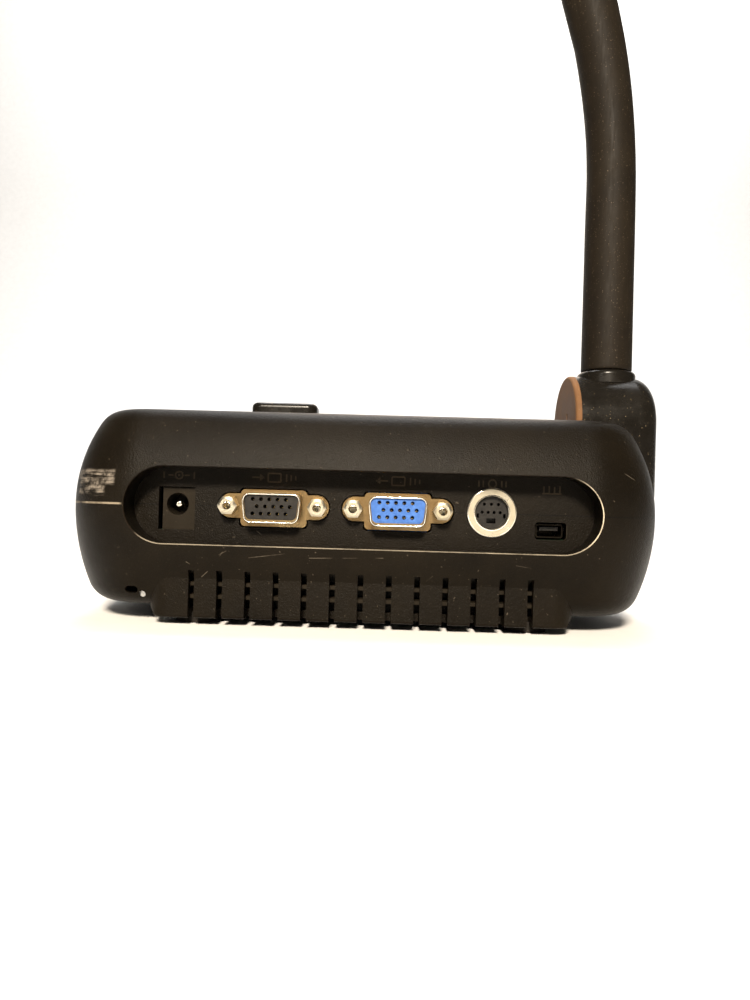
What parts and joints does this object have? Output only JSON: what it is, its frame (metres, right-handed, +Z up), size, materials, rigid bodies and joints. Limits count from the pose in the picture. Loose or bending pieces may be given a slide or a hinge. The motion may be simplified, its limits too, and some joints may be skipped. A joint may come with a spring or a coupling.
{
  "type": "document camera",
  "caption": "Portable document camera: a bar-shaped base with a recessed row of video sockets, a folding neck and a flexible gooseneck that carries a camera head.",
  "frame": {"origin": "centre of the area that the rubber feet cover, on the desk", "axes": "+Z up, +Y towards the sockets at the rear, +X along the base away from the folding neck"},
  "size_m": [0.2003, 0.0947, 0.2925],
  "materials": {
    "shell_plastic": "fine spark texture, charcoal",
    "gloss_black": "gloss black",
    "sleeve_rubber": "matte dark rubber",
    "foot_rubber": "matte",
    "steel": "satin",
    "nickel": "bright nickel plate",
    "black_insert": "matte black",
    "blue_insert": "satin blue",
    "board_green": "solder mask",
    "aluminium_sink": "extruded",
    "lens_glass": "coated",
    "lamp_clear": "clear over white"
  },
  "bodies": {
    "base": {"top_housing": "shell_plastic", "bottom_housing": "shell_plastic", "vent_baffle": "black_insert", "rubber_feet": "foot_rubber", "ballast_plate": "steel", "housing_screws": "steel", "main_board": "board_green", "video_chip": "black_insert", "heat_sink": "aluminium_sink", "control_board": "board_green", "control_switches": "black_insert", "dc_jack_body": "black_insert", "dc_jack_pin": "nickel", "vga_in_shell": "nickel", "vga_in_insert": "black_insert", "vga_out_shell": "nickel", "vga_out_insert": "blue_insert", "jackscrews": "nickel", "mini_din_shell": "nickel", "mini_din_insert": "black_insert", "mini_usb_shell": "steel", "mini_usb_tongue": "black_insert", "hinge_bracket": "steel"},
    "neck": {"neck_block": "gloss_black", "neck_cover": "gloss_black", "neck_axle": "steel", "friction_washers": "steel", "axle_nut": "steel", "neck_collar": "gloss_black", "gooseneck_core_0": "steel", "gooseneck_sleeve_0": "sleeve_rubber"},
    "gooseneck_1": {"gooseneck_core_1": "steel", "gooseneck_sleeve_1": "sleeve_rubber"},
    "gooseneck_2": {"gooseneck_core_2": "steel", "gooseneck_sleeve_2": "sleeve_rubber"},
    "gooseneck_3": {"gooseneck_core_3": "steel", "gooseneck_sleeve_3": "sleeve_rubber"},
    "gooseneck_4": {"gooseneck_core_4": "steel", "gooseneck_sleeve_4": "sleeve_rubber"},
    "gooseneck_5": {"gooseneck_core_5": "steel", "gooseneck_sleeve_5": "sleeve_rubber"},
    "gooseneck_6": {"gooseneck_core_6": "steel", "gooseneck_sleeve_6": "sleeve_rubber", "head_yoke": "gloss_black"},
    "head": {"yoke_pin": "steel", "head_shell": "gloss_black", "head_bezel": "black_insert", "head_lamps": "lamp_clear", "lens_barrel": "black_insert", "lens_glass": "lens_glass", "sensor_board": "board_green"},
    "focus_ring": {"focus_ring": "sleeve_rubber"},
    "lamp_button": {"lamp_button": "gloss_black"},
    "power_button": {"power_button": "gloss_black"},
    "freeze_button": {"freeze_button": "gloss_black"},
    "source_button": {"source_button": "gloss_black"},
    "zoom_out_button": {"zoom_out_button": "gloss_black"},
    "zoom_in_button": {"zoom_in_button": "gloss_black"}
  },
  "joints": [
    {"name": "neck_fold", "type": "hinge", "parent": "base", "child": "neck", "pos_m": [-0.0779, 0, 0.041], "axis": [1, 0, 0], "range_deg": [0, 90]},
    {"name": "lower_bend_1", "type": "hinge", "parent": "neck", "child": "gooseneck_1", "pos_m": [-0.0779, 0, 0.11012], "axis": [0, 1, 0], "range_deg": [-18, 18]},
    {"name": "lean_1", "type": "hinge", "parent": "gooseneck_1", "child": "gooseneck_2", "pos_m": [-0.0779, 0, 0.14012], "axis": [-1, 0, 0], "range_deg": [-18, 18]},
    {"name": "lower_bend_2", "type": "hinge", "parent": "gooseneck_2", "child": "gooseneck_3", "pos_m": [-0.06942, 0, 0.20336], "axis": [0, 1, 0], "range_deg": [-18, 18]},
    {"name": "lean_2", "type": "hinge", "parent": "gooseneck_3", "child": "gooseneck_4", "pos_m": [-0.05031, 0, 0.24169], "axis": [-0.7909, 0, 0.6119], "range_deg": [-18, 18]},
    {"name": "upper_bend_1", "type": "hinge", "parent": "gooseneck_4", "child": "gooseneck_5", "pos_m": [-0.01801, 0, 0.26981], "axis": [0, 1, 0], "range_deg": [-18, 18]},
    {"name": "upper_bend_2", "type": "hinge", "parent": "gooseneck_5", "child": "gooseneck_6", "pos_m": [0.02258, 0, 0.28347], "axis": [0, 1, 0], "range_deg": [-18, 18]},
    {"name": "head_tilt", "type": "hinge", "parent": "gooseneck_6", "child": "head", "pos_m": [0.08993, 0, 0.27396], "axis": [0, 1, 0], "range_deg": [-45, 15]},
    {"name": "focus_turn", "type": "hinge", "parent": "head", "child": "focus_ring", "pos_m": [0.08993, 0, 0.23196], "axis": [0, 0, 1], "range_deg": [-120, 120]},
    {"name": "lamp_press", "type": "slide", "parent": "head", "child": "lamp_button", "axis": [-1, 0, 0], "range_m": [0, 0.0008], "stiffness_N_per_m": 200, "springref_m": -0.0012},
    {"name": "power_press", "type": "slide", "parent": "base", "child": "power_button", "axis": [0, 0, -1], "range_m": [0, 0.0009], "stiffness_N_per_m": 300, "springref_m": -0.0012},
    {"name": "freeze_press", "type": "slide", "parent": "base", "child": "freeze_button", "axis": [0, 0, -1], "range_m": [0, 0.0009], "stiffness_N_per_m": 300, "springref_m": -0.0012},
    {"name": "source_press", "type": "slide", "parent": "base", "child": "source_button", "axis": [0, 0, -1], "range_m": [0, 0.0009], "stiffness_N_per_m": 300, "springref_m": -0.0012},
    {"name": "zoom_out_press", "type": "slide", "parent": "base", "child": "zoom_out_button", "axis": [0, 0, -1], "range_m": [0, 0.0009], "stiffness_N_per_m": 300, "springref_m": -0.0012},
    {"name": "zoom_in_press", "type": "slide", "parent": "base", "child": "zoom_in_button", "axis": [0, 0, -1], "range_m": [0, 0.0009], "stiffness_N_per_m": 300, "springref_m": -0.0012}
  ],
  "couplings": [
    {"joint": "lower_bend_2", "follows": "lower_bend_1", "ratio": 1},
    {"joint": "lean_2", "follows": "lean_1", "ratio": 1},
    {"joint": "upper_bend_2", "follows": "upper_bend_1", "ratio": 1}
  ]
}
